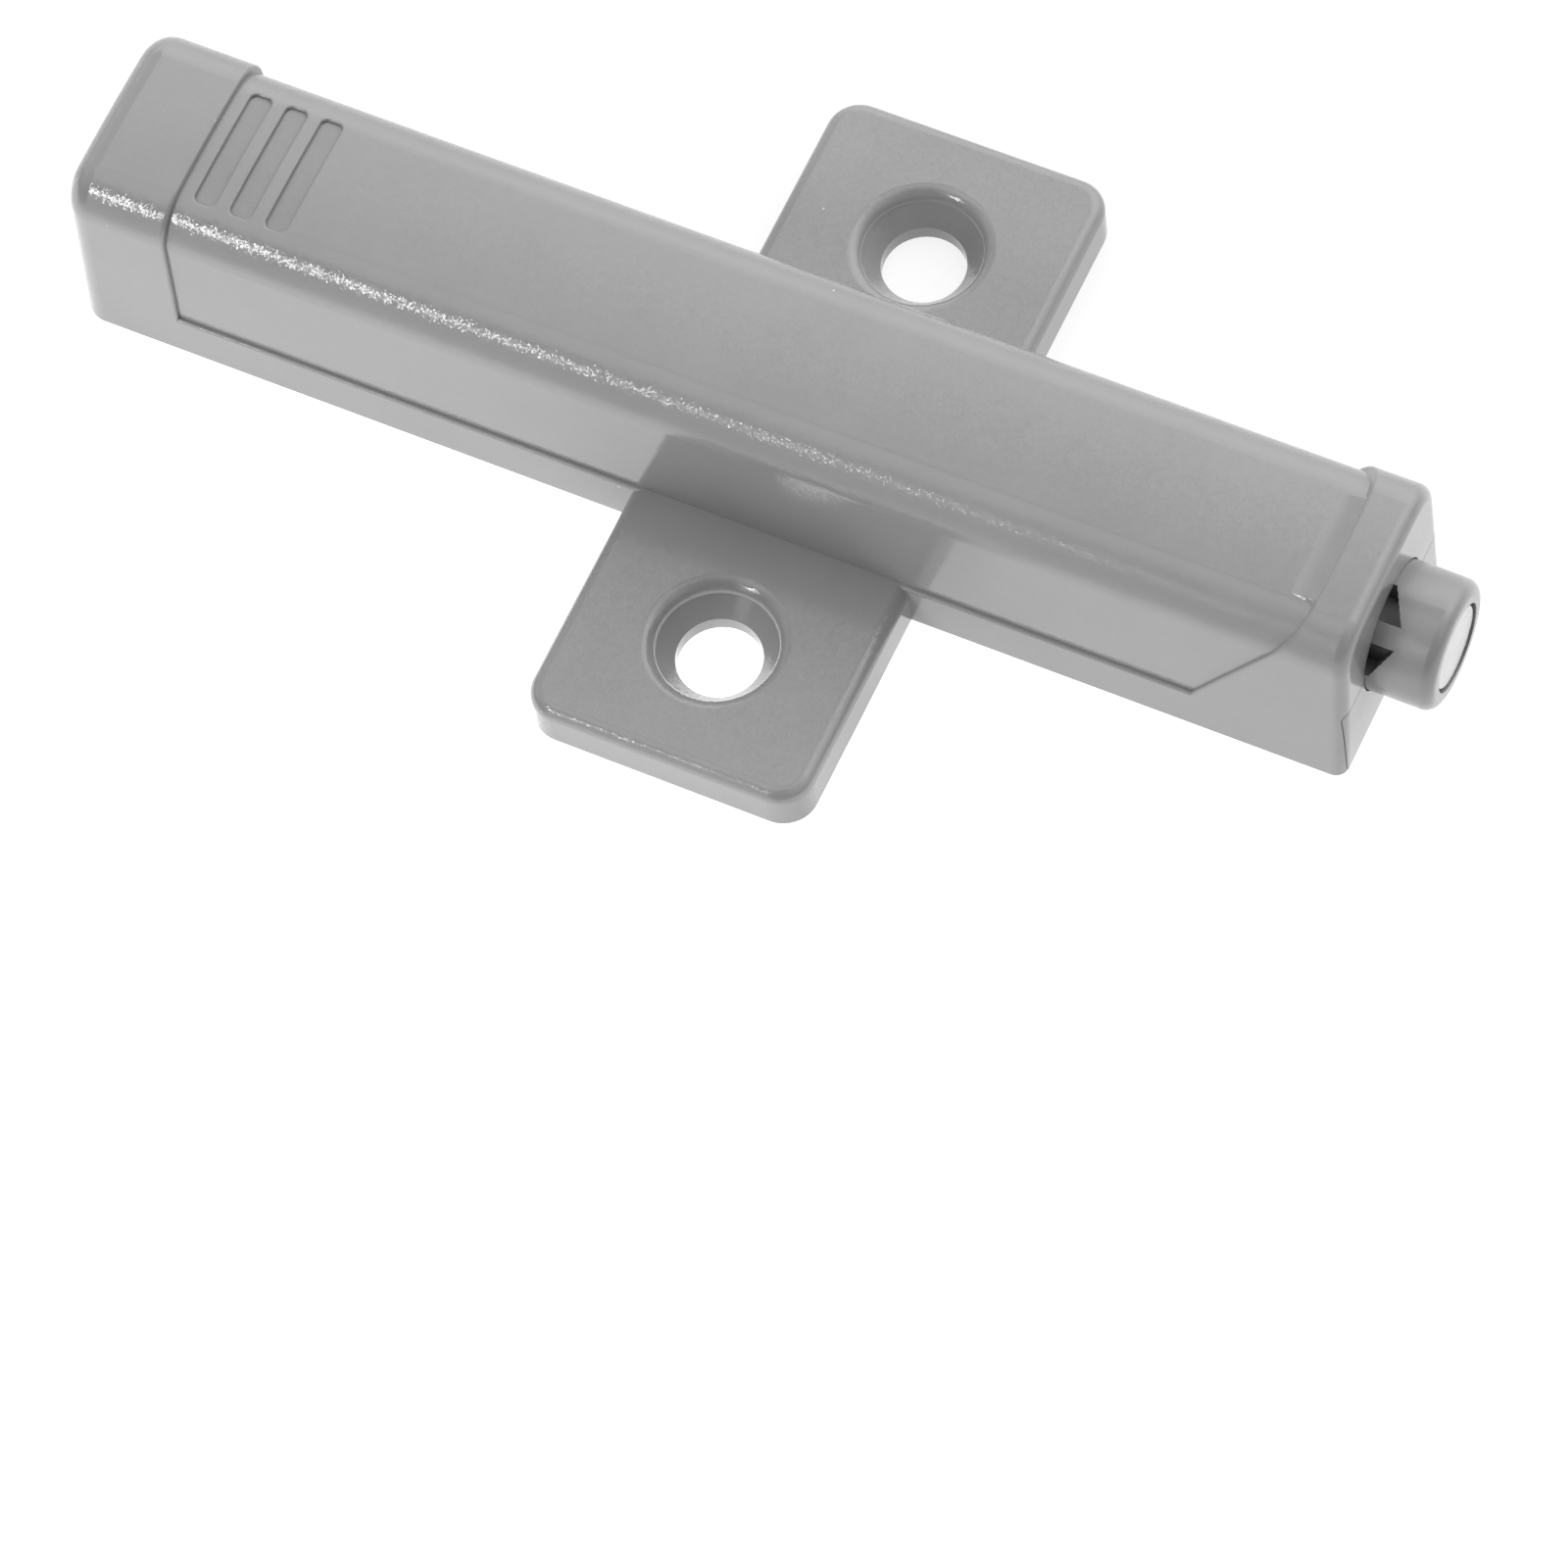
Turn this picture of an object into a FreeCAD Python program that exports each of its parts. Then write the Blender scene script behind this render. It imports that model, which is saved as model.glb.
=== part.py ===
import FreeCAD, Part
import math
import os
from FreeCAD import Vector as V

os.makedirs("parts", exist_ok=True)

# ---------------------------------------------------------------- dimensions
# millimetres. Origin: midway between the two screw holes, on the underside.
# +X towards the plunger tip, +Y across the wings, +Z away from the cabinet.

# casing
case_x0 = -51.15          # closed end
case_x1 = 40.50           # plunger end
case_half_w = 8.11        # half width at the underside
case_h = 14.48           # height at the long edges, before rounding
top_crown = 0.30          # the top face rises this much in the middle
side_lean = 0.060         # mould draft of the long sides, mm per mm of height
edge_r = 3.00             # long top edges
end_r = 1.85              # edges round the closed end
rear_lean = 0.020         # the closed end leans forward, mm per mm of height
face_r = 0.95             # edges round the plunger end

# recessed waist between the end cap and the collar
cap_x = -43.35            # face of the end cap
ledge_z = 3.50            # lower edge of the side panels, also the wing tops
waist_side = 0.32
waist_top = 0.42
waist_r = 3.15
collar_low_x = 29.80      # panel corner beside the collar
collar_edge_x = 37.25     # edge of the collar on the top face
collar_edge_z = 14.60
collar_blend = 2.10       # reach of the soft blend in front of that edge
collar_r = 0.20           # broken edges of the collar, the end cap and the ledge below them

# grip slots beside the cap
slot_x = (-42.32, -39.72, -37.12)
slot_w = 1.55
slot_len = 8.90
slot_depth = 0.28
slot_r = 0.48
slot_edge_r = 0.13

# wings
wing_half_w = 10.015
wing_tip_y = 25.03
wing_t = 3.50
wing_corner_r = 2.30
wing_edge_r = 0.90
hole_pitch = 32.0
hole_r = 2.89
throat_z = 1.14
rim_r = 4.03
rim_z = 2.50
lip_r = 0.95

# inside of the casing
cav_half_w = 6.05
cav_z1 = 12.70
cav_x0 = -49.45
cav_x1 = 38.40
cav_chamfer = 1.0

# bottom cover
cover_half_w = 7.00
cover_x0 = -49.90
cover_t = 1.40
cover_gap = 0.08
endwall_half_w = 7.40
endwall_r = 0.45
axis_z = 7.01             # plunger axis

# plunger
plunger_r = 4.45
plunger_gap = 0.09
plunger_x1 = 45.02        # tip
plunger_x0 = 1.60
plunger_bore_r = 3.06
tip_fillet = 0.85
magnet_r = 2.86
magnet_len = 2.6
magnet_sunk = 0.12
stem_r = 3.00
window_angle = -37.0      # centre of the pair of windows, from +Z towards +Y
window_half = 43.5        # outer edge of a window, degrees from that centre
window_rib = 10.0         # half width of the rib between the windows, degrees
window_v0 = 1.60          # reach past the end face beside the rib
window_v1 = 0.25          # reach past the end face at the outer edge
window_x0 = 33.5

# slider behind the plunger
slider_x0 = -5.0
slider_x1 = 1.5
slider_half_w = 5.90
slider_z0 = 1.60
slider_z1 = 11.50
track_x0 = -27.0
track_half_w = 3.90
track_z0 = 9.90
groove_half_w = 2.05
groove_depth = 1.0
groove_x1 = -8.0
stem_bore_r = 1.35

# spring, guide rod, rear seat, follower
seat_x0 = -49.35
seat_x1 = -45.50
nose_r = 1.90
nose_x = -43.20
rod_r = 1.00
rod_x0 = -48.80
rod_x1 = 14.0
coil_r = 2.45
wire_r = 0.30
coils = 17
pin_r = 0.40
pin_z = 12.05
pin_x0 = -47.40
pin_tip_x = -14.0


def box(x0, x1, y0, y1, z0, z1):
    return Part.makeBox(x1 - x0, y1 - y0, z1 - z0, V(x0, y0, z0))


def cyl(r, x, y, z0, z1):
    return Part.makeCylinder(r, z1 - z0, V(x, y, z0), V(0, 0, 1))


def xcyl(r, x0, x1, y=0.0, z=None):
    return Part.makeCylinder(r, x1 - x0, V(x0, y, axis_z if z is None else z), V(1, 0, 0))


def prism_x(pts, x0, x1):
    """Close a list of (y, z) points and sweep it along X."""
    w = Part.makePolygon([V(x0, y, z) for y, z in pts + pts[:1]])
    return Part.Face(w).extrude(V(x1 - x0, 0, 0))


def long_top_edges(shape, top):
    out = []
    for e in shape.Edges:
        a, b = e.Vertexes[0].Point, e.Vertexes[-1].Point
        if abs(a.z - top) < 1e-6 and abs(b.z - top) < 1e-6 and abs(a.y - b.y) < 1e-6 and abs(a.x - b.x) > 5:
            out.append(e)
    return out


def tapered_bar(half_w, top, x0, x1):
    """Bar with leaning sides and a slightly crowned top face."""
    t = half_w - side_lean * top
    p = [V(x0, -t, top), V(x0, -half_w, 0), V(x0, half_w, 0), V(x0, t, top)]
    segs = [Part.LineSegment(p[i], p[i + 1]).toShape() for i in range(3)]
    segs.append(Part.Arc(p[3], V(x0, 0, top + top_crown), p[0]).toShape())
    return Part.Face(Part.Wire(segs)).extrude(V(x1 - x0, 0, 0))


def save(name, shape):
    shape = shape.removeSplitter() if name in ("housing_shell", "bottom_cover", "slider") else shape
    if shape.ShapeType == "Compound" and len(shape.Solids) == 1:
        shape = shape.Solids[0]
    print(name, shape.ShapeType, "solids", len(shape.Solids), "valid", shape.isValid(),
          "volume", round(shape.Volume, 2))
    shape.exportStep("parts/" + name + ".step")
    return shape


# ---------------------------------------------------------------- outer casing
case = tapered_bar(case_half_w, case_h, case_x0, case_x1)
lean_pts = [V(case_x0, -30, 0), V(case_x0 + rear_lean * 20, -30, 20), V(case_x0 - 2, -30, 20), V(case_x0 - 2, -30, 0)]
case = case.cut(Part.Face(Part.makePolygon(lean_pts + lean_pts[:1])).extrude(V(0, 60, 0)))
case = case.makeFillet(edge_r, long_top_edges(case, case_h))
rear_loop = []
for e in case.Edges:
    bb = e.BoundBox
    if bb.XMax < case_x0 + 1.0 and bb.ZMax > 0.5:
        rear_loop.append(e)
case = case.makeFillet(end_r, rear_loop)
front_loop = []
for e in case.Edges:
    bb = e.BoundBox
    if bb.XMin > case_x1 - 0.01 and bb.ZMax > 0.5:
        front_loop.append(e)
case = case.makeFillet(face_r, front_loop)
case_outer = case.copy()

# recess tool: everything outside the slimmer waist, between cap and collar
waist_h = case_h - waist_top
waist = tapered_bar(case_half_w - waist_side, waist_h, case_x0 - 5, case_x1 + 5)
waist = waist.makeFillet(waist_r, long_top_edges(waist, waist_h))
top_z = 30.0
slope = (collar_edge_x - collar_low_x) / (collar_edge_z - ledge_z)
foot_x = collar_low_x + slope * (waist_h - ledge_z)
over_x = collar_low_x + slope * (top_z - ledge_z)
recess_pts = [V(cap_x, -30, ledge_z), V(collar_low_x, -30, ledge_z), V(over_x, -30, top_z), V(cap_x, -30, top_z)]
recess = Part.Face(Part.makePolygon(recess_pts + recess_pts[:1])).extrude(V(0, 60, 0)).cut(waist)


body = case.cut(recess)


def step_edges(shape):
    """Outer edges of the collar and of the end cap, where they stand above the waist."""
    out = []
    for e in shape.Edges:
        on_collar = on_cap = True
        for k in (0.0, 0.25, 0.5, 0.75, 1.0):
            u = e.FirstParameter + (e.LastParameter - e.FirstParameter) * k
            q = e.valueAt(u)
            if abs(q.x - collar_low_x - slope * (q.z - ledge_z)) > 1e-4 or waist.isInside(q, 1e-4, True):
                on_collar = False
            if abs(q.x - cap_x) > 1e-4 or waist.isInside(q, 1e-4, True):
                on_cap = False
        bb = e.BoundBox
        on_ledge = abs(bb.ZMin - ledge_z) < 1e-4 and bb.ZMax < ledge_z + 1e-4 and min(abs(bb.YMin), abs(bb.YMax)) > 7.75
        if (on_collar or on_cap) and e.Length > 0.05 and bb.ZMax > ledge_z + 0.2:
            out.append(e)
        elif on_ledge and e.Length > 5:
            out.append(e)
    return out


body = body.makeFillet(collar_r, step_edges(body))
# soft blend where the top face runs up to the collar, thinning out at both ends
waist_t = case_half_w - waist_side - side_lean * waist_h
blend_y = waist_t - waist_r * 0.95


def crown_at(y):
    return top_crown * (1 - (min(abs(y), blend_y) / waist_t) ** 2)


def blend_section(y, scale, drop):
    x0 = foot_x - collar_blend * scale
    h = waist_h + crown_at(y)
    x0 += slope * crown_at(y)
    x1 = foot_x + slope * (crown_at(y) + 0.30 * scale)
    z1 = h + 0.30 * scale
    a = V(x0, y, h - drop)
    m = V(x0 + (x1 - x0) * 0.60, y, h - drop + 0.30 * scale * 0.30)
    pts = [a, m, V(x1, y, z1 - drop), V(x1 + 0.4, y, z1 - drop), V(x1 + 0.4, y, h - 0.5 - drop), V(x0, y, h - 0.5 - drop)]
    segs = [Part.Arc(pts[0], pts[1], pts[2]).toShape()]
    for i in range(2, 6):
        segs.append(Part.LineSegment(pts[i], pts[(i + 1) % 6]).toShape())
    return Part.Wire(segs)


blend = Part.makeLoft([blend_section(blend_y * k, 1.0, 0.0) for k in (-1, -0.5, 0, 0.5, 1)], True, False)
body = body.fuse(blend)
for sgn in (-1, 1):
    tail = Part.makeLoft([blend_section(sgn * blend_y, 1.0, 0.0), blend_section(sgn * (blend_y + 1.5), 0.25, 0.80)], True, True)
    body = body.fuse(tail.common(case_outer))

# grip slots
slot_floor = tapered_bar(case_half_w, waist_h - slot_depth, case_x0, case_x1)
for x in slot_x:
    s = box(x, x + slot_w, -slot_len / 2, slot_len / 2, waist_h - 2, waist_h + 2)
    s = s.makeFillet(slot_r, [e for e in s.Edges if abs(e.Vertexes[0].Z - e.Vertexes[1].Z) > 1])
    s = s.cut(slot_floor)
    body = body.cut(s)
    rim = []
    for e in body.Edges:
        bb = e.BoundBox
        if (bb.XMin > x - 0.02 and bb.XMax < x + slot_w + 0.02 and max(abs(bb.YMin), abs(bb.YMax)) < slot_len / 2 + 0.02
                and bb.ZMin > waist_h - 0.02):
            rim.append(e)
    body = body.makeFillet(slot_edge_r, rim)

# ---------------------------------------------------------------- wings
for sgn in (-1, 1):
    y_in = sgn * (case_half_w - 1.6)
    y_out = sgn * wing_tip_y
    w = box(-wing_half_w, wing_half_w, min(y_in, y_out), max(y_in, y_out), 0, wing_t)
    corners = [e for e in w.Edges
               if abs(e.Vertexes[0].Z - e.Vertexes[1].Z) > 1 and abs(e.Vertexes[0].Y - y_out) < 1e-6]
    w = w.makeFillet(wing_corner_r, corners)
    rim = []
    for e in w.Edges:
        bb = e.BoundBox
        if bb.ZMin > wing_t - 1e-4 and not (abs(bb.YMin - y_in) < 1e-6 and abs(bb.YMax - y_in) < 1e-6):
            rim.append(e)
    w = w.makeFillet(wing_edge_r, rim)
    body = body.fuse(w)

# countersunk screw holes with a rolled lip
for sgn in (-1, 1):
    yc = sgn * hole_pitch / 2
    p = [V(0, yc, -1), V(hole_r, yc, -1), V(hole_r, yc, throat_z), V(rim_r, yc, rim_z)]
    segs = [Part.LineSegment(p[i], p[i + 1]).toShape() for i in range(3)]
    c = V(rim_r + lip_r, yc, rim_z + 0.05)
    segs.append(Part.LineSegment(p[3], V(rim_r, yc, rim_z + 0.05)).toShape())
    k = math.sqrt(0.5)
    segs.append(Part.Arc(V(rim_r, yc, rim_z + 0.05),
                         V(c.x - lip_r * k, yc, c.z + lip_r * k),
                         V(c.x, yc, c.z + lip_r)).toShape())
    segs.append(Part.LineSegment(V(c.x, yc, c.z + lip_r), V(c.x, yc, wing_t + 1)).toShape())
    segs.append(Part.LineSegment(V(c.x, yc, wing_t + 1), V(0, yc, wing_t + 1)).toShape())
    segs.append(Part.LineSegment(V(0, yc, wing_t + 1), V(0, yc, -1)).toShape())
    tool = Part.Face(Part.Wire(segs)).revolve(V(0, yc, 0), V(0, 0, 1), 360)
    body = body.cut(Part.Solid(tool.Shells[0]) if tool.ShapeType != "Solid" else tool)

# ---------------------------------------------------------------- inside
c = cav_chamfer
cavity = prism_x([(-cav_half_w, -1), (cav_half_w, -1), (cav_half_w, cav_z1 - c),
                  (cav_half_w - c, cav_z1), (-cav_half_w + c, cav_z1), (-cav_half_w, cav_z1 - c)],
                 cav_x0, cav_x1)
shell = body.cut(cavity)
# rebate for the cover plate and its end wall
shell = shell.cut(box(cover_x0 - cover_gap, cav_x1 + 0.01, -cover_half_w - cover_gap, cover_half_w + cover_gap,
                      -1, cover_t + cover_gap))
end_gap = endwall_half_w + cover_gap
ew = box(cav_x1 - 0.01, case_x1 + 1, -end_gap, end_gap, -1, axis_z)
ew = ew.makeFillet(endwall_r, [e for e in ew.Edges
                               if abs(e.Vertexes[0].Z - axis_z) < 1e-6 and abs(e.Vertexes[1].Z - axis_z) < 1e-6
                               and abs(e.Vertexes[0].X - e.Vertexes[1].X) > 1])
shell = shell.cut(ew)
shell = shell.cut(xcyl(plunger_r + plunger_gap, cav_x1 - 1, case_x1 + 1))
# four bosses that take the cover's pegs
peg_r, boss_r = 0.75, 1.45
pegs = [(-47.0, -6.0), (-47.0, 6.0), (36.2, -6.45), (36.2, 6.45)]
for x, y in pegs:
    b = cyl(boss_r, x, y, cover_t + cover_gap, cav_z1 - 0.6)
    keep = box(x - 3, x + 3, min(y, y * 1.08) - 1.6, max(y, y * 1.08) + 1.6, 0, 20).common(
        prism_x([(-7.3, 0), (7.3, 0), (6.9, 12.4), (-6.9, 12.4)], case_x0 + 2, case_x1))
    shell = shell.fuse(b.common(keep))
for x, y in pegs:
    shell = shell.cut(cyl(peg_r + 0.01, x, y, 0, 6.2))
shell = save("housing_shell", shell)

# ---------------------------------------------------------------- bottom cover
cover = box(cover_x0, cav_x1, -cover_half_w, cover_half_w, 0, cover_t)
cover = cover.makeFillet(0.8, [e for e in cover.Edges if abs(e.Vertexes[0].Z - e.Vertexes[1].Z) > 1
                               and abs(e.Vertexes[0].X - cover_x0) < 1e-6])
wall = box(cav_x1, case_x1, -endwall_half_w, endwall_half_w, 0, axis_z - cover_gap)
wall = wall.makeFillet(endwall_r, [e for e in wall.Edges
                                   if abs(e.Vertexes[0].Z - axis_z + cover_gap) < 1e-6
                                   and abs(e.Vertexes[1].Z - axis_z + cover_gap) < 1e-6
                                   and abs(e.Vertexes[0].X - e.Vertexes[1].X) > 1])
gusset = box(cav_x1 - 1.0, cav_x1 + 0.5, -4.4, 4.4, 0, 2.2)
cover = cover.fuse([wall.common(case_outer), gusset])
for x, y in pegs:
    cover = cover.fuse(cyl(peg_r, x, y, 0.5, 5.8))
cover = cover.cut(xcyl(plunger_r + plunger_gap, cav_x1 - 3, case_x1 + 1))
cover = save("bottom_cover", cover)

# ---------------------------------------------------------------- plunger sleeve
sleeve = xcyl(plunger_r, plunger_x0, plunger_x1)
sleeve = sleeve.makeFillet(tip_fillet, [e for e in sleeve.Edges
                                        if abs(e.BoundBox.XMin - plunger_x1) < 1e-6 and abs(e.BoundBox.XMax - plunger_x1) < 1e-6])
sleeve = sleeve.cut(xcyl(plunger_bore_r, plunger_x0 - 1, plunger_x1 + 1))
# two windows that meet in an arrow shape, with a rib along the middle
for s in (-1, 1):
    a0, a1 = s * window_rib, s * window_half
    r_out = plunger_r + 2.0

    def on(angle, x, r):
        a = math.radians(window_angle + angle)
        return V(x, r * math.sin(a), axis_z + r * math.cos(a))

    steps = 6
    solids = []
    for i in range(steps):
        b0 = a0 + (a1 - a0) * i / steps
        b1 = a0 + (a1 - a0) * (i + 1) / steps
        x0e = case_x1 + window_v0 + (window_v1 - window_v0) * i / steps
        x1e = case_x1 + window_v0 + (window_v1 - window_v0) * (i + 1) / steps
        q = []
        for r in (2.2, r_out):
            rr = r / math.cos(math.radians((b1 - b0) / 2)) if r > 3 else r
            q.append([on(b0, window_x0, rr), on(b1, window_x0, rr), on(b1, x1e, rr), on(b0, x0e, rr)])
        faces = []

        def tri(*p):
            return Part.Face(Part.makePolygon(list(p) + [p[0]]))

        lo, hi = q
        for k in (lo, hi):
            faces += [tri(k[0], k[1], k[2]), tri(k[0], k[2], k[3])]
        for j in range(4):
            m = (j + 1) % 4
            faces += [tri(lo[j], lo[m], hi[m]), tri(lo[j], hi[m], hi[j])]
        sh = Part.makeShell(faces)
        so = Part.makeSolid(sh)
        if so.Volume < 0:
            so.reverse()
        solids.append(so)
    for so in solids:
        sleeve = sleeve.cut(so)
sleeve = save("plunger_sleeve", sleeve)

# ---------------------------------------------------------------- magnet
magnet = xcyl(magnet_r, plunger_x1 - magnet_sunk - magnet_len, plunger_x1 - magnet_sunk)
magnet = magnet.makeFillet(0.12, [e for e in magnet.Edges if e.BoundBox.XMax - e.BoundBox.XMin < 1e-6])
save("magnet", magnet)

# ---------------------------------------------------------------- slider: stem, carriage and cam track
stem_x1 = plunger_x1 - magnet_sunk - magnet_len - 0.05
stem = xcyl(stem_r, slider_x0, stem_x1)
for i in range(9):
    x = 6.0 + i * 1.6
    stem = stem.cut(xcyl(stem_r + 1, x, x + 0.6).cut(xcyl(stem_r - 0.35, x - 0.1, x + 0.7)))
k = cav_chamfer
carriage = prism_x([(-slider_half_w, slider_z0), (slider_half_w, slider_z0), (slider_half_w, slider_z1 - 0.2),
                    (slider_half_w - 0.2, slider_z1), (-slider_half_w + 0.2, slider_z1),
                    (-slider_half_w, slider_z1 - 0.2)], slider_x0, slider_x1)
track = box(track_x0, slider_x0 + 1, -track_half_w, track_half_w, track_z0, slider_z1)
slider = carriage.fuse([stem, track])
groove = box(track_x0 - 1, groove_x1, -groove_half_w, groove_half_w, slider_z1 - groove_depth, slider_z1 + 1)
groove = groove.makeFillet(0.9, [e for e in groove.Edges if abs(e.Vertexes[0].Z - e.Vertexes[1].Z) > 1
                                 and abs(e.Vertexes[0].X - groove_x1) < 1e-6])
funnel = Part.Face(Part.makePolygon([V(track_x0 - 1, -3.5, slider_z1 - groove_depth), V(track_x0 - 1, 3.5, slider_z1 - groove_depth),
                                     V(track_x0 + 2.5, groove_half_w - 0.1, slider_z1 - groove_depth),
                                     V(track_x0 + 2.5, -groove_half_w + 0.1, slider_z1 - groove_depth),
                                     V(track_x0 - 1, -3.5, slider_z1 - groove_depth)])).extrude(V(0, 0, 3))
slider = slider.cut(groove).cut(funnel)
slider = slider.cut(xcyl(stem_bore_r, slider_x0 - 1, 22.0))
slider = slider.cut(xcyl(coil_r + wire_r + 0.25, slider_x0 - 1, slider_x0 + 1.5))
save("slider", slider)

# ---------------------------------------------------------------- rear seat
seat = box(seat_x0, seat_x1, -5.95, 5.95, cover_t + 0.1, cav_z1 - 0.1)
seat = seat.fuse(xcyl(nose_r, seat_x1 - 0.5, nose_x))
for x, y in pegs[:2]:
    seat = seat.cut(cyl(boss_r + 0.05, x, y, 0, 20))
seat = seat.cut(box(seat_x0 - 1, seat_x1 + 1, -1.2, 1.2, pin_z - pin_r - 0.1, 20))
seat = seat.cut(cyl(pin_r + 0.05, pin_x0, 0, 8.6, 20))
seat = seat.cut(box(pin_x0, pin_x0 + 1.1, -0.55, 0.55, pin_z - 1.0, 20))
seat = seat.cut(xcyl(rod_r + 0.01, rod_x0 - 0.01, nose_x + 1))
for sgn in (-1, 1):
    corner = [(sgn * 7, cav_z1 - cav_chamfer - 1.25), (sgn * 7, cav_z1 + 1), (sgn * (cav_half_w - cav_chamfer - 1.25), cav_z1 + 1)]
    seat = seat.cut(prism_x(corner, seat_x0 - 1, seat_x1 + 1))
save("spring_seat", seat)

# ---------------------------------------------------------------- guide rod
rod = xcyl(rod_r, rod_x0, rod_x1)
rod = rod.makeFillet(0.3, [e for e in rod.Edges if e.BoundBox.XMax - e.BoundBox.XMin < 1e-6])
save("spring_guide_rod", rod)

# ---------------------------------------------------------------- compression spring
sx0 = seat_x1 + wire_r + 0.02
sx1 = slider_x0 + 1.5 - wire_r - 0.02
pitch = (sx1 - sx0) / coils
helix = Part.makeHelix(pitch, sx1 - sx0, coil_r)
circle = Part.Wire([Part.Circle(V(coil_r, 0, 0), V(0, 1, 0), wire_r).toShape()])
spring = Part.Wire(helix.Edges).makePipeShell([circle], True, True)
spring.rotate(V(0, 0, 0), V(0, 1, 0), 90)
spring.translate(V(sx0, 0, axis_z))
if spring.Volume < 0:
    spring.reverse()
save("main_spring", spring)

# ---------------------------------------------------------------- follower pin
p0 = V(pin_x0, 0, 8.9)
p1 = V(pin_x0, 0, pin_z)
p2 = V(pin_tip_x, 0, pin_z)
p3 = V(pin_tip_x, 0, slider_z1 - groove_depth + 0.12)
b = 0.9
arc1 = Part.Arc(V(pin_x0, 0, pin_z - b), V(pin_x0 + b * (1 - math.sqrt(0.5)), 0, pin_z - b * (1 - math.sqrt(0.5))),
                V(pin_x0 + b, 0, pin_z)).toShape()
b2 = 0.7
arc2 = Part.Arc(V(pin_tip_x - b2, 0, pin_z), V(pin_tip_x - b2 * (1 - math.sqrt(0.5)), 0, pin_z - b2 * (1 - math.sqrt(0.5))),
                V(pin_tip_x, 0, pin_z - b2)).toShape()
path = Part.Wire([Part.LineSegment(p0, V(pin_x0, 0, pin_z - b)).toShape(), arc1,
                  Part.LineSegment(V(pin_x0 + b, 0, pin_z), V(pin_tip_x - b2, 0, pin_z)).toShape(), arc2,
                  Part.LineSegment(V(pin_tip_x, 0, pin_z - b2), p3).toShape()])
pin = path.makePipeShell([Part.Wire([Part.Circle(p0, V(0, 0, 1), pin_r).toShape()])], True, True)
if pin.Volume < 0:
    pin.reverse()
save("follower_pin", pin)

# ---------------------------------------------------------------- leaf spring over the pin
leaf_pts = [(-49.2, 12.56), (-38.0, 12.56), (-33.0, 12.49), (-28.0, 12.56), (-28.0, 12.66), (-33.0, 12.59), (-38.0, 12.66), (-49.2, 12.66)]
leaf = Part.Face(Part.makePolygon([V(x, -1.05, z) for x, z in leaf_pts + leaf_pts[:1]])).extrude(V(0, 2.1, 0))
save("follower_leaf_spring", leaf)
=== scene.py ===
import math
import random

import bmesh
import bpy
from mathutils import Matrix, Vector


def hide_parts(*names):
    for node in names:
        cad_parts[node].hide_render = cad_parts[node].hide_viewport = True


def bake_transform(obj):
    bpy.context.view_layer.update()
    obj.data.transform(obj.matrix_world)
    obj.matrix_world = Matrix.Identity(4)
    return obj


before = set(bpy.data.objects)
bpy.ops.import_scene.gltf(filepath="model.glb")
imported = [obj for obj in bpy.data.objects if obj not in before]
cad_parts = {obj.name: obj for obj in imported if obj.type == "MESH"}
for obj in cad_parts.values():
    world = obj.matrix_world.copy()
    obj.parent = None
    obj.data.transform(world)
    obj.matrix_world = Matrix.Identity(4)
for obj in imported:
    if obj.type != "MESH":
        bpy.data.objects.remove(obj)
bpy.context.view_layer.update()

scene = bpy.context.scene
scene.view_settings.view_transform = "Standard"
scene.view_settings.look = "None"
scene.view_settings.exposure = 0.0
scene.view_settings.gamma = 1.0

MM = 0.001
AXIS_Z = 7.01


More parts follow.
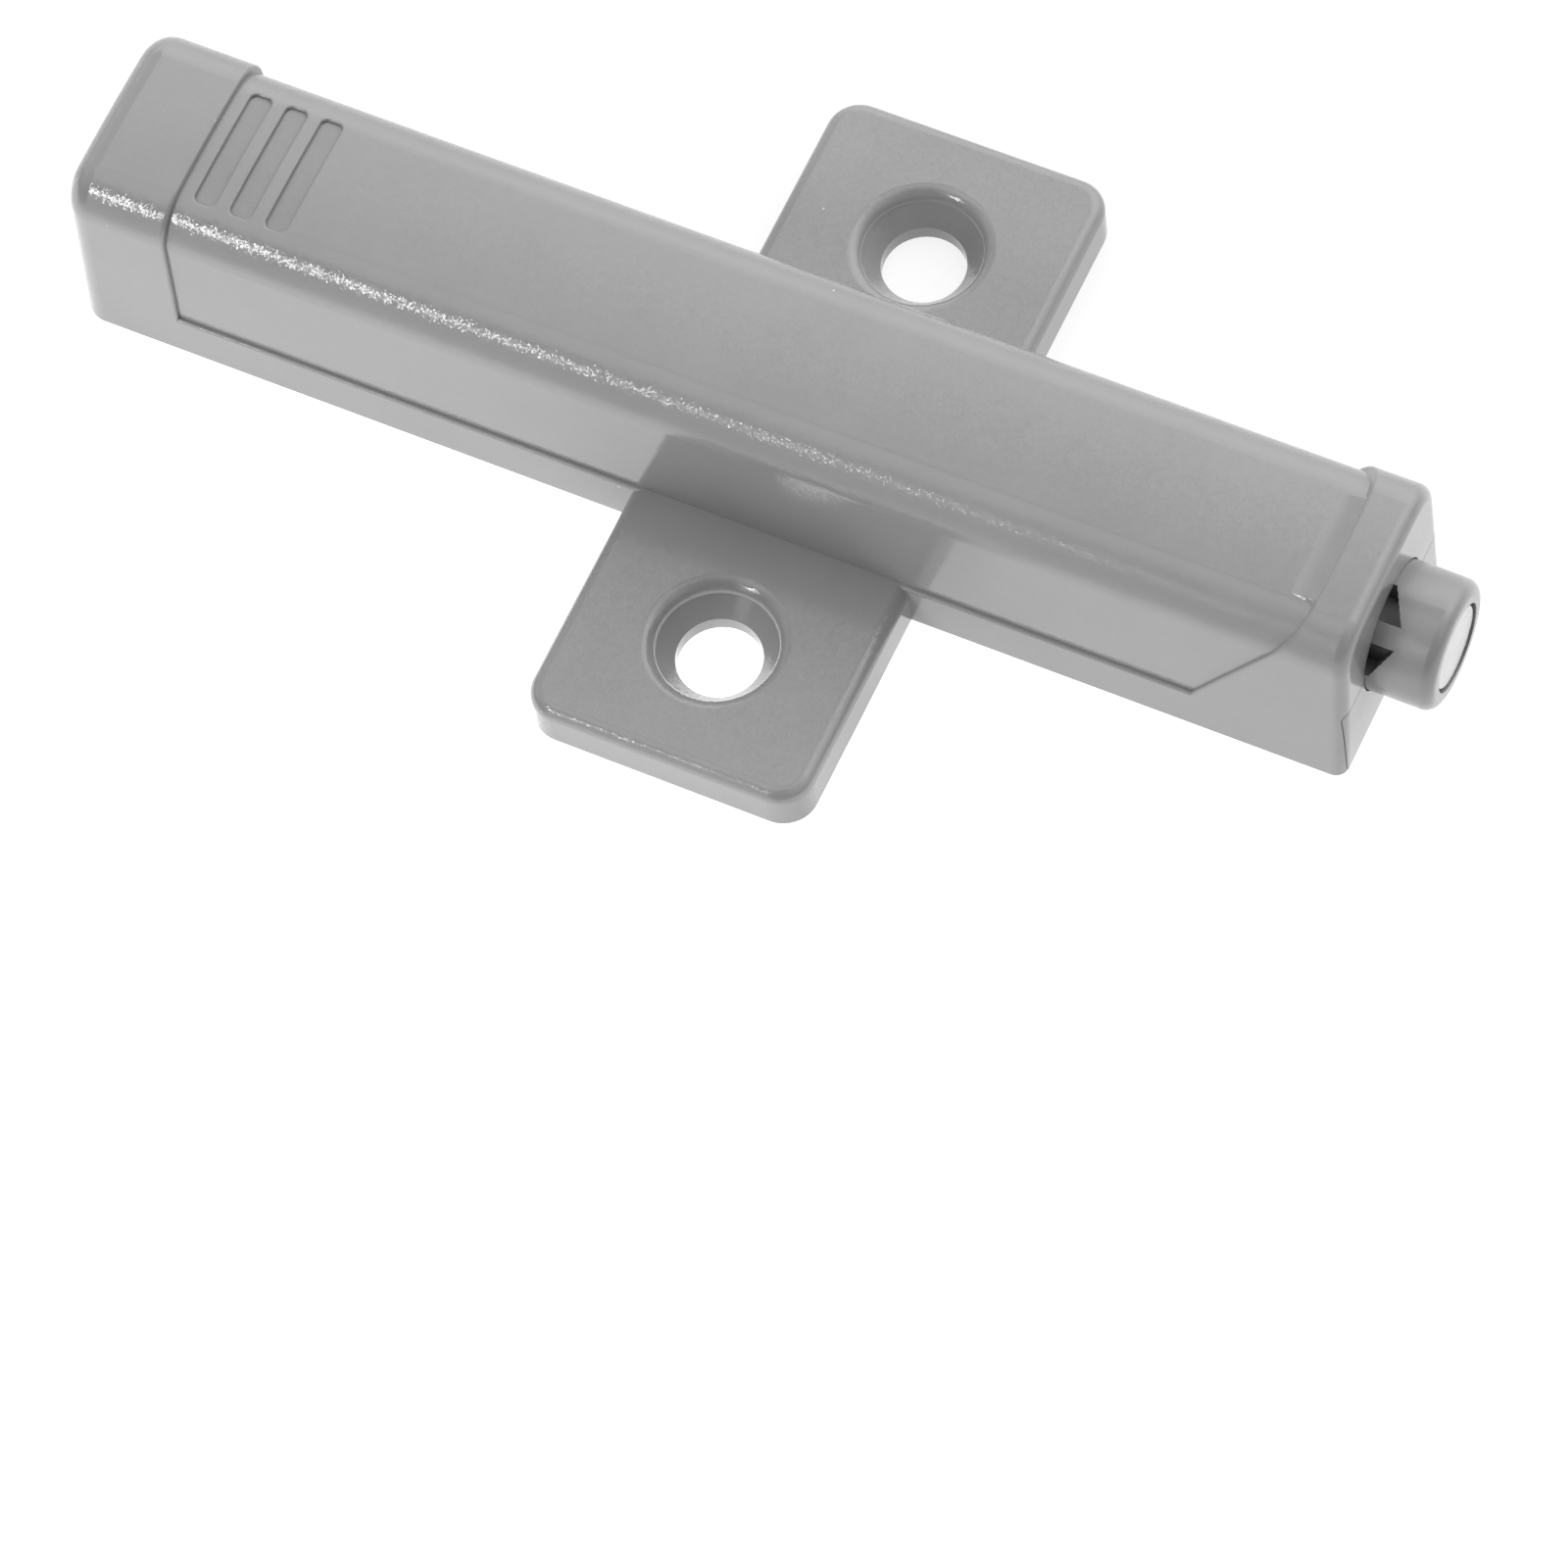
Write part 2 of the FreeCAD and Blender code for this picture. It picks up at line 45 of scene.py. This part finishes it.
# ------------------------------------------------------------------ node helpers
class Tree:
    """Small helper round a node tree: nodes are made and linked in one call."""

    def __init__(self, tree):
        self.t = tree
        for n in list(tree.nodes):
            tree.nodes.remove(n)

    def node(self, kind, **inputs):
        n = self.t.nodes.new(kind)
        for key, value in inputs.items():
            if key.startswith("p_"):
                setattr(n, key[2:], value)
        for key, value in inputs.items():
            if not key.startswith("p_"):
                self.put(n, key, value)
        return n

    def put(self, n, key, value):
        name = key.replace("_", " ")
        sockets = [s for s in n.inputs if s.name.lower() == name.lower() and s.enabled] or [n.inputs[int(key[1:])]]
        s = sockets[0]
        if isinstance(value, bpy.types.NodeSocket):
            self.t.links.new(value, s)
        else:
            s.default_value = value

    def math(self, op, a, b=0.0, c=None, clamp=False):
        n = self.t.nodes.new("ShaderNodeMath")
        n.operation = op
        n.use_clamp = clamp
        for i, v in enumerate((a, b, c)):
            if v is None:
                continue
            if isinstance(v, bpy.types.NodeSocket):
                self.t.links.new(v, n.inputs[i])
            else:
                n.inputs[i].default_value = v
        return n.outputs[0]

    def smooth(self, value, lo, hi, to_lo=0.0, to_hi=1.0):
        n = self.t.nodes.new("ShaderNodeMapRange")
        n.interpolation_type = "SMOOTHSTEP"
        self.t.links.new(value, n.inputs["Value"])
        n.inputs["From Min"].default_value = lo
        n.inputs["From Max"].default_value = hi
        n.inputs["To Min"].default_value = to_lo
        n.inputs["To Max"].default_value = to_hi
        return n.outputs["Result"]

    def noise(self, vec, scale, detail=2.0, rough=0.5, dims="3D"):
        n = self.t.nodes.new("ShaderNodeTexNoise")
        n.noise_dimensions = dims
        self.t.links.new(vec, n.inputs["Vector"])
        n.inputs["Scale"].default_value = scale
        n.inputs["Detail"].default_value = detail
        n.inputs["Roughness"].default_value = rough
        return n.outputs["Fac"]

    def ramp(self, fac, stops):
        n = self.t.nodes.new("ShaderNodeValToRGB")
        self.t.links.new(fac, n.inputs["Fac"])
        el = n.color_ramp.elements
        while len(el) < len(stops):
            el.new(0.5)
        for e, (pos, col) in zip(el, stops):
            e.position = pos
            e.color = (*col, 1.0)
        return n.outputs["Color"]

    def bump(self, height, distance, strength=1.0, normal=None):
        n = self.t.nodes.new("ShaderNodeBump")
        n.inputs["Strength"].default_value = strength
        n.inputs["Distance"].default_value = distance
        self.t.links.new(height, n.inputs["Height"])
        if normal is not None:
            self.t.links.new(normal, n.inputs["Normal"])
        return n.outputs["Normal"]


def material(name):
    m = bpy.data.materials.new(name)
    m.use_nodes = True
    return m, Tree(m.node_tree)


def grey(v):
    return (v, v, v)


# ------------------------------------------------------------------ materials
def moulded_plastic(name, base, rough=0.11, grain=1.0, grain_size=0.100, specks=True, sss=0.0, wave=1.0, slots=False):
    """Injection moulded satin plastic: glossy skin over a fine spark-eroded grain, so that a small
    light breaks up into sparkles, with faint sink and flow marks and a few dust specks."""
    m, t = material(name)
    co = t.node("ShaderNodeTexCoord").outputs["Object"]

    # long soft waves of the moulding and its slight orange peel
    w1 = t.noise(co, 1.0 / (7.0 * MM), 1.0, 0.4)
    w2 = t.noise(co, 1.0 / (1.1 * MM), 1.0, 0.5)
    w = t.math("ADD", t.math("MULTIPLY", w1, 0.8), t.math("MULTIPLY", w2, 0.015))
    normal = t.bump(w, 0.016 * MM * wave, 1.0)

    # spark-eroded skin: every tiny cell is a facet with its own small tilt
    cells = t.t.nodes.new("ShaderNodeTexVoronoi")
    cells.feature = "F1"
    t.t.links.new(co, cells.inputs["Vector"])
    cells.inputs["Scale"].default_value = 1.0 / (grain_size * MM)
    cells.inputs["Randomness"].default_value = 1.0
    tilt = t.t.nodes.new("ShaderNodeVectorMath")
    tilt.operation = "MULTIPLY_ADD"
    t.t.links.new(cells.outputs["Color"], tilt.inputs[0])
    k = 0.185 * grain
    tilt.inputs[1].default_value = (0.3 * k, k, k)
    tilt.inputs[2].default_value = (-0.15 * k, -k / 2, -k / 2)
    # the end faces and the other flats are smoother than the rounded edges
    way = t.t.nodes.new("ShaderNodeSeparateXYZ")
    t.t.links.new(t.node("ShaderNodeNewGeometry").outputs["Normal"], way.inputs[0])
    calm = t.t.nodes.new("ShaderNodeVectorMath")
    calm.operation = "SCALE"
    t.t.links.new(tilt.outputs[0], calm.inputs[0])
    upright = t.smooth(t.math("ABSOLUTE", way.outputs["Y"]), 0.93, 0.995, 0.0, -0.55)
    level_top = t.smooth(way.outputs["Z"], 0.95, 0.995, 1.0, 0.45)
    t.t.links.new(t.math("MAXIMUM", t.math("MULTIPLY_ADD", t.math("ABSOLUTE", way.outputs["X"]), -0.80, t.math("ADD", upright, level_top)), 0.15), calm.inputs["Scale"])
    facet = t.t.nodes.new("ShaderNodeVectorMath")
    facet.operation = "ADD"
    t.t.links.new(normal, facet.inputs[0])
    t.t.links.new(calm.outputs[0], facet.inputs[1])
    unit_facet = t.t.nodes.new("ShaderNodeVectorMath")
    unit_facet.operation = "NORMALIZE"
    t.t.links.new(facet.outputs[0], unit_facet.inputs[0])
    skin = unit_facet.outputs[0]

    # colour: cloudy flow marks and a very fine mottle
    c1 = t.noise(co, 1.0 / (9.0 * MM), 3.0, 0.55)
    c2 = t.noise(co, 1.0 / (0.5 * MM), 2.0, 0.6)
    f = t.math("ADD", t.math("MULTIPLY", c1, 0.75), t.math("MULTIPLY", c2, 0.25))
    col = t.ramp(f, [(0.30, grey(base * 0.955)), (0.50, grey(base)), (0.72, grey(base * 1.04))])
    # every cell of the skin has its own trace of tone
    parts = t.t.nodes.new("ShaderNodeSeparateColor")
    t.t.links.new(cells.outputs["Color"], parts.inputs["Color"])
    tone = t.math("MULTIPLY_ADD", parts.outputs["Green"], 0.020 * grain, 1.0 - 0.010 * grain)
    toned = t.t.nodes.new("ShaderNodeVectorMath")
    toned.operation = "SCALE"
    t.t.links.new(col, toned.inputs[0])
    t.t.links.new(tone, toned.inputs["Scale"])
    col = toned.outputs[0]

    if slots:
        # painted shade: the base colour on the floors of the grip slots is darkened to 90 %, standing in for the shade
        # in these recesses
        at = t.t.nodes.new("ShaderNodeSeparateXYZ")
        t.t.links.new(co, at.inputs[0])
        crown = t.math("MULTIPLY", t.math("POWER", t.math("DIVIDE", at.outputs["Y"], 7.0 * MM), 2.0), 0.30 * MM)
        level = t.math("ADD", at.outputs["Z"], crown)
        slot_floor_shade_mask = t.math("MULTIPLY", t.smooth(level, 14.10 * MM, 14.16 * MM, 1.0, 0.0), t.math("GREATER_THAN", level, 13.9 * MM))
        slot_floor_shade_mask = t.math("MULTIPLY", slot_floor_shade_mask, t.math("LESS_THAN", at.outputs["X"], -35.3 * MM))
        slot_floor_shade_mask = t.math("MULTIPLY", slot_floor_shade_mask, t.math("LESS_THAN", t.math("ABSOLUTE", at.outputs["Y"]), 4.35 * MM))
        # painted shade: multiply the base colour by 0.90 inside the slot floor mask
        dim = t.t.nodes.new("ShaderNodeMix")
        dim.data_type = "RGBA"
        dim.blend_type = "MULTIPLY"
        t.t.links.new(slot_floor_shade_mask, dim.inputs[0])
        t.t.links.new(col, dim.inputs[6])
        dim.inputs[7].default_value = (0.90, 0.90, 0.90, 1)
        col = dim.outputs[2]

    if specks:
        # dust and pinholes: one small dot in a few of the cells
        v = t.t.nodes.new("ShaderNodeTexVoronoi")
        v.feature = "F1"
        t.t.links.new(co, v.inputs["Vector"])
        v.inputs["Scale"].default_value = 1.0 / (3.6 * MM)
        v.inputs["Randomness"].default_value = 1.0
        sep = t.t.nodes.new("ShaderNodeSeparateColor")
        t.t.links.new(v.outputs["Color"], sep.inputs["Color"])
        dot = t.smooth(v.outputs["Distance"], 0.016, 0.030, 1.0, 0.0)
        light_cell = t.math("GREATER_THAN", sep.outputs["Red"], 0.80)
        dark_cell = t.math("LESS_THAN", sep.outputs["Red"], 0.14)
        light = t.math("MULTIPLY", dot, light_cell)
        dark = t.math("MULTIPLY", dot, dark_cell)
        mix = t.t.nodes.new("ShaderNodeMix")
        mix.data_type = "RGBA"
        t.t.links.new(t.math("MULTIPLY", light, 0.55), mix.inputs[0])
        t.t.links.new(col, mix.inputs[6])
        mix.inputs[7].default_value = (0.85, 0.85, 0.85, 1)
        mix2 = t.t.nodes.new("ShaderNodeMix")
        mix2.data_type = "RGBA"
        t.t.links.new(t.math("MULTIPLY", dark, 0.45), mix2.inputs[0])
        t.t.links.new(mix.outputs[2], mix2.inputs[6])
        mix2.inputs[7].default_value = (0.08, 0.08, 0.08, 1)
        col = mix2.outputs[2]

    # dull body under a glossy skin; the skin alone carries the facets
    b = t.node("ShaderNodeBsdfPrincipled", Base_Color=col, Normal=normal)
    b.inputs["Roughness"].default_value = 0.5
    b.inputs["IOR"].default_value = 1.45
    b.inputs["Specular IOR Level"].default_value = 0.0
    b.inputs["Coat Weight"].default_value = 1.0
    b.inputs["Coat Roughness"].default_value = rough
    b.inputs["Coat IOR"].default_value = 1.60
    t.t.links.new(skin, b.inputs["Coat Normal"])
    if sss:
        b.inputs["Subsurface Weight"].default_value = sss
        b.inputs["Subsurface Radius"].default_value = (1.0, 1.0, 1.0)
        b.inputs["Subsurface Scale"].default_value = 0.6 * MM
    out = t.node("ShaderNodeOutputMaterial")
    t.t.links.new(b.outputs[0], out.inputs["Surface"])
    return m


def plated_metal(name, base, rough, grain=0.3, streak_axis=None, streak=0.4, cloudy=1.0):
    """Bright plating or drawn wire with fine pits and streaks."""
    m, t = material(name)
    co = t.node("ShaderNodeTexCoord").outputs["Object"]
    fine = t.noise(co, 1.0 / (0.12 * MM), 3.0, 0.6)
    cloud = t.noise(co, 1.0 / (1.4 * MM), 3.0, 0.55)
    vec = co
    if streak_axis is not None:
        mp = t.t.nodes.new("ShaderNodeMapping")
        t.t.links.new(co, mp.inputs["Vector"])
        sc = [1.0, 1.0, 1.0]
        sc[streak_axis] = 0.04
        mp.inputs["Scale"].default_value = sc
        vec = mp.outputs["Vector"]
    lines = t.noise(vec, 1.0 / (0.10 * MM), 2.0, 0.5)
    f = t.math("ADD", t.math("MULTIPLY", cloud, 0.55), t.math("MULTIPLY", lines, 0.45))
    col = t.ramp(f, [(0.30, tuple(c * (1 - 0.14 * cloudy) for c in base)), (0.52, base),
                     (0.75, tuple(min(1.0, c * (1 + 0.07 * cloudy)) for c in base))])
    r = t.smooth(f, 0.28, 0.72, rough * 0.75, rough * 1.3)
    n = t.bump(t.math("ADD", t.math("MULTIPLY", fine, grain), t.math("MULTIPLY", lines, streak)), 0.004 * MM, 1.0)
    b = t.node("ShaderNodeBsdfPrincipled", Base_Color=col, Roughness=r, Normal=n)
    b.inputs["Metallic"].default_value = 1.0
    out = t.node("ShaderNodeOutputMaterial")
    t.t.links.new(b.outputs[0], out.inputs["Surface"])
    return m


mat_shell = moulded_plastic("housing_plastic", 0.290, rough=0.10, slots=True)
mat_sleeve = moulded_plastic("plunger_plastic", 0.270, rough=0.20, grain=0.8)
mat_slider = moulded_plastic("slider_plastic", 0.360, rough=0.26, grain=0.6, specks=False)
mat_magnet = plated_metal("magnet_plating", (0.50, 0.50, 0.495), 0.25, cloudy=0.35)
mat_spring = plated_metal("spring_steel", (0.60, 0.60, 0.60), 0.22, streak_axis=0)
mat_rod = plated_metal("rod_steel", (0.62, 0.62, 0.62), 0.20, streak_axis=0)


def dress(node, mat):
    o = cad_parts[node]
    if not o.material_slots:
        o.data.materials.append(mat)
    for s in o.material_slots:
        s.material = mat
    return o


for node, mat in {
    "housing_shell": mat_shell,
    "bottom_cover": mat_shell,
    "plunger_sleeve": mat_sleeve,
    "magnet": mat_magnet,
    "slider": mat_slider,
    "spring_seat": mat_slider,
    "main_spring": mat_spring,
    "spring_guide_rod": mat_rod,
    "follower_pin": mat_spring,
    "follower_leaf_spring": mat_spring,
}.items():
    dress(node, mat)


# ------------------------------------------------------------------ compression spring
def coil_spring(name, x0, x1, radius, wire, turns, steps=44, sides=10):
    """Open coils between two closed, ground ends. x0 and x1 are the wire's centre at the ends."""
    closed = 1.3
    gap = 2 * wire * 1.04
    open_pitch = (x1 - x0 - 2 * closed * gap) / (turns - 2 * closed)

    def along(turn):
        if turn < closed:
            return x0 + turn * gap
        if turn > turns - closed:
            return x1 - (turns - turn) * gap
        k = (turn - closed) / (turns - 2 * closed)
        ease = k - math.sin(2 * math.pi * k) / (2 * math.pi) * 0.10
        return x0 + closed * gap + ease * open_pitch * (turns - 2 * closed)

    bm = bmesh.new()
    rings = []
    n = int(turns * steps)
    for i in range(n + 1):
        turn = turns * i / n
        a = 2 * math.pi * turn
        c = Vector((along(turn), radius * math.cos(a), radius * math.sin(a) + AXIS_Z))
        d = 1e-3
        pitch = (along(min(turn + d, turns)) - along(max(turn - d, 0.0))) / (min(turn + d, turns) - max(turn - d, 0.0))
        tangent = Vector((pitch / (2 * math.pi * radius), -math.sin(a), math.cos(a))).normalized()
        normal = Vector((0.0, math.cos(a), math.sin(a)))
        side = tangent.cross(normal).normalized()
        # the ends are ground flat and taper over the last part of a turn
        end = min(turn, turns - turn)
        taper = 0.45 + 0.55 * min(1.0, end / 0.6)
        ring = []
        for j in range(sides):
            b = 2 * math.pi * j / sides
            q = c + (normal * math.cos(b) + side * math.sin(b) * taper) * wire
            ring.append(bm.verts.new(q * MM))
        rings.append(ring)
    for r0, r1 in zip(rings, rings[1:]):
        for j in range(sides):
            k = (j + 1) % sides
            f = bm.faces.new((r0[j], r0[k], r1[k], r1[j]))
            f.smooth = True
    bm.faces.new(rings[0][::-1])
    bm.faces.new(rings[-1])
    bmesh.ops.recalc_face_normals(bm, faces=bm.faces)
    me = bpy.data.meshes.new(name)
    bm.to_mesh(me)
    bm.free()
    me.materials.append(mat_spring)
    o = bpy.data.objects.new(name, me)
    scene.collection.objects.link(o)
    return o


spring = coil_spring("spring_coils", -45.18, -3.82, 2.45, 0.30, 17)
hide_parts("main_spring")
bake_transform(spring)

# ------------------------------------------------------------------ floor
bpy.ops.mesh.primitive_plane_add(size=4.0, location=(0, 0, -0.00005))
floor = bpy.context.object
floor.name = "floor"
m, t = material("floor_paper")
co = t.node("ShaderNodeTexCoord").outputs["Object"]
sep = t.t.nodes.new("ShaderNodeSeparateXYZ")
t.t.links.new(co, sep.inputs[0])
px, py = sep.outputs["X"], sep.outputs["Y"]
FRONT = [(13, 1.45), (20, 1.72), (28, 1.75), (38, 1.70), (46, 0.80), (80, 0.98)]
ahead = t.math("MULTIPLY", py, -1.0)
front = FRONT[0][1]
for (d0, v0), (d1, v1) in zip(FRONT, FRONT[1:]):
    front = t.math("ADD", front, t.smooth(ahead, d0 * MM, d1 * MM, 0.0, v1 - v0))
front = t.math("MULTIPLY", front, t.smooth(px, 0.000, 0.014, 1.0, 0.88))
# a little less close to the near wing's right side and front
beside = t.math("MULTIPLY", t.smooth(px, 8.5 * MM, 10.0 * MM), t.smooth(px, 11.5 * MM, 14.5 * MM, 1.0, 0.0))
beside = t.math("MULTIPLY", beside, t.smooth(ahead, 9.0 * MM, 18.0 * MM, 0.0, 0.30))
before = t.math("MULTIPLY", t.smooth(ahead, 24.0 * MM, 25.0 * MM, 0.0, 0.22), t.smooth(ahead, 27.0 * MM, 30.0 * MM, 1.0, 0.0))
before = t.math("MULTIPLY", before, t.smooth(t.math("ABSOLUTE", px), 10.0 * MM, 13.0 * MM, 1.0, 0.0))
front = t.math("MULTIPLY", front, t.math("SUBTRACT", 1.0, t.math("MAXIMUM", beside, before)))
front = t.math("MAXIMUM", front, 0.79)
half = t.smooth(py, -0.001, 0.001)
side = t.math("ADD", t.math("MULTIPLY", front, t.math("SUBTRACT", 1.0, half)), t.math("MULTIPLY", half, 0.79))
tip = t.smooth(px, 0.040, 0.042)
right = t.smooth(px, 0.050, 0.080, 1.05, 0.82)
glow = t.math("ADD", t.math("MULTIPLY", side, t.math("SUBTRACT", 1.0, tip)), t.math("MULTIPLY", right, tip))
em = t.node("ShaderNodeEmission", Color=(1, 1, 1, 1), Strength=glow)
df = t.node("ShaderNodeBsdfDiffuse", Color=(0.25, 0.25, 0.25, 1))
add = t.t.nodes.new("ShaderNodeAddShader")
t.t.links.new(em.outputs[0], add.inputs[0])
t.t.links.new(df.outputs[0], add.inputs[1])
out = t.node("ShaderNodeOutputMaterial")
t.t.links.new(add.outputs[0], out.inputs["Surface"])
floor.data.materials.append(m)

# ------------------------------------------------------------------ studio light
# A light tent of smooth fields. Rows are the radiance at the elevations ELEVATIONS, and their columns
# stand at the azimuths AZIMUTHS. Azimuth runs from -Y towards -X and elevation up from the floor, in degrees.
ELEVATIONS = [0, 16, 34, 52, 70]
AZIMUTHS = [30, 90, 150, 210, 270, 330]
FIELD = [
    [0.00, 0.06, 0.78, 1.04, 0.12, 0.00],
    [0.00, 0.33, 1.63, 1.78, 0.18, 0.00],
    [0.17, 1.04, 2.16, 2.58, 0.72, 0.00],
    [0.00, 0.78, 1.99, 2.88, 0.72, 0.00],
    [0.48, 1.71, 0.28, 1.79, 0.84, 0.00],
]
ZENITH = 0.96
KEY_AZ, KEY_EL, KEY_SLOPE, KEY_HALF_AZ, KEY_HALF_EL, KEY_RADIANCE = 36.0, 38.0, 0.25, 18.0, 9.5, 18.5

world = bpy.data.worlds.new("studio")
scene.world = world
world.use_nodes = True
t = Tree(world.node_tree)
co = t.node("ShaderNodeTexCoord").outputs["Generated"]
unit = t.t.nodes.new("ShaderNodeVectorMath")
unit.operation = "NORMALIZE"
t.t.links.new(co, unit.inputs[0])
sep = t.t.nodes.new("ShaderNodeSeparateXYZ")
t.t.links.new(unit.outputs[0], sep.inputs[0])
az = t.math("ARCTAN2", t.math("MULTIPLY", sep.outputs["X"], -1.0), t.math("MULTIPLY", sep.outputs["Y"], -1.0))
el = t.math("ARCSINE", sep.outputs["Z"])


def near_azimuth(centre):
    n = t.t.nodes.new("ShaderNodeMath")
    n.operation = "WRAP"
    t.t.links.new(t.math("SUBTRACT", az, math.radians(centre)), n.inputs[0])
    n.inputs[1].default_value = math.pi
    n.inputs[2].default_value = -math.pi
    return t.smooth(t.math("ABSOLUTE", n.outputs[0]), 0.0, math.radians(60), 1.0, 0.0)


columns = [near_azimuth(a) for a in AZIMUTHS]
total = t.smooth(el, math.radians(ELEVATIONS[-1]), math.radians(90), 0.0, ZENITH)
for i, row in enumerate(FIELD):
    level = None
    for column, radiance in zip(columns, row):
        if radiance:
            f = t.math("MULTIPLY", column, radiance)
            level = f if level is None else t.math("ADD", level, f)
    top = math.radians((ELEVATIONS + [90])[i + 1])
    weight = t.smooth(el, math.radians(ELEVATIONS[i]), top, 1.0, 0.0)
    if i:
        weight = t.math("MULTIPLY", weight, t.smooth(el, math.radians(ELEVATIONS[i - 1]), math.radians(ELEVATIONS[i])))
    total = t.math("ADD", total, t.math("MULTIPLY", level, weight))
# a dark flag behind the closed end: it shades the fronts of the steps that face that way
u = t.math("DIVIDE", t.math("SUBTRACT", az, math.radians(122.0)), math.radians(30.0))
v = t.math("DIVIDE", t.math("SUBTRACT", el, math.radians(41.0)), math.radians(22.0))
r2 = t.math("ADD", t.math("MULTIPLY", u, u), t.math("MULTIPLY", v, v))
total = t.math("MULTIPLY", total, t.smooth(r2, 0.2, 1.0, 0.34, 1.0))
# the small bright lamp that draws the broken line along the top edge
u = t.math("DIVIDE", t.math("SUBTRACT", az, math.radians(KEY_AZ)), math.radians(KEY_HALF_AZ))
lean = t.math("MULTIPLY", t.math("SUBTRACT", az, math.radians(KEY_AZ)), KEY_SLOPE)
v = t.math("DIVIDE", t.math("SUBTRACT", t.math("SUBTRACT", el, math.radians(KEY_EL)), lean), math.radians(KEY_HALF_EL))
r2 = t.math("ADD", t.math("MULTIPLY", u, u), t.math("MULTIPLY", v, v))
key = t.math("MULTIPLY", t.smooth(r2, 0.0, 1.0, KEY_RADIANCE, 0.0), t.smooth(az, math.radians(31), math.radians(43), 1.0, 0.0))
total = t.math("ADD", total, key)
# the tall dim strip under it and its glow overhead
u = t.math("DIVIDE", t.math("SUBTRACT", az, math.radians(19.0)), math.radians(15.0))
tall = t.math("MULTIPLY", t.smooth(el, math.radians(-6), math.radians(2)), t.smooth(el, math.radians(46), math.radians(64), 1.0, 0.0))
total = t.math("ADD", total, t.math("MULTIPLY", t.smooth(t.math("MULTIPLY", u, u), 0.0, 1.0, 1.2, 0.0), tall))
u = t.math("DIVIDE", t.math("SUBTRACT", az, math.radians(45.0)), math.radians(30.0))
v = t.math("DIVIDE", t.math("SUBTRACT", el, math.radians(63.0)), math.radians(14.0))
r2 = t.math("ADD", t.math("MULTIPLY", u, u), t.math("MULTIPLY", v, v))
total = t.math("ADD", total, t.smooth(r2, 0.0, 1.0, 1.0, 0.0))
# its faint side lobe, which carries the line on to the plunger
u = t.math("DIVIDE", t.math("SUBTRACT", az, math.radians(24.0)), math.radians(9.5))
v = t.math("DIVIDE", t.math("SUBTRACT", el, math.radians(37.5)), math.radians(8.0))
r2 = t.math("ADD", t.math("MULTIPLY", u, u), t.math("MULTIPLY", v, v))
total = t.math("ADD", total, t.smooth(r2, 0.0, 1.0, 1.4, 0.0))
bg = t.node("ShaderNodeBackground", Color=(1, 1, 1, 1), Strength=total)
out = t.node("ShaderNodeOutputWorld")
t.t.links.new(bg.outputs[0], out.inputs["Surface"])

# ------------------------------------------------------------------ camera
cam_data = bpy.data.cameras.new("camera")
cam_data.sensor_width = 36.0
cam_data.lens = 194.3975
cam = bpy.data.objects.new("camera", cam_data)
scene.collection.objects.link(cam)
scene.camera = cam

rv = Vector((2.6199512331732806, 0.5531182017471583, -0.24440400991947075))
rot = Matrix.Rotation(rv.length, 3, rv.normalized())
rt = rot.transposed()
cam_rot = Matrix((rt.col[0], -rt.col[1], -rt.col[2])).transposed()
cam.matrix_world = Matrix.Translation(Vector((148.135, -235.169, 481.508)) * MM) @ cam_rot.to_4x4()
cam_data.clip_start, cam_data.clip_end = 0.01, 10.0
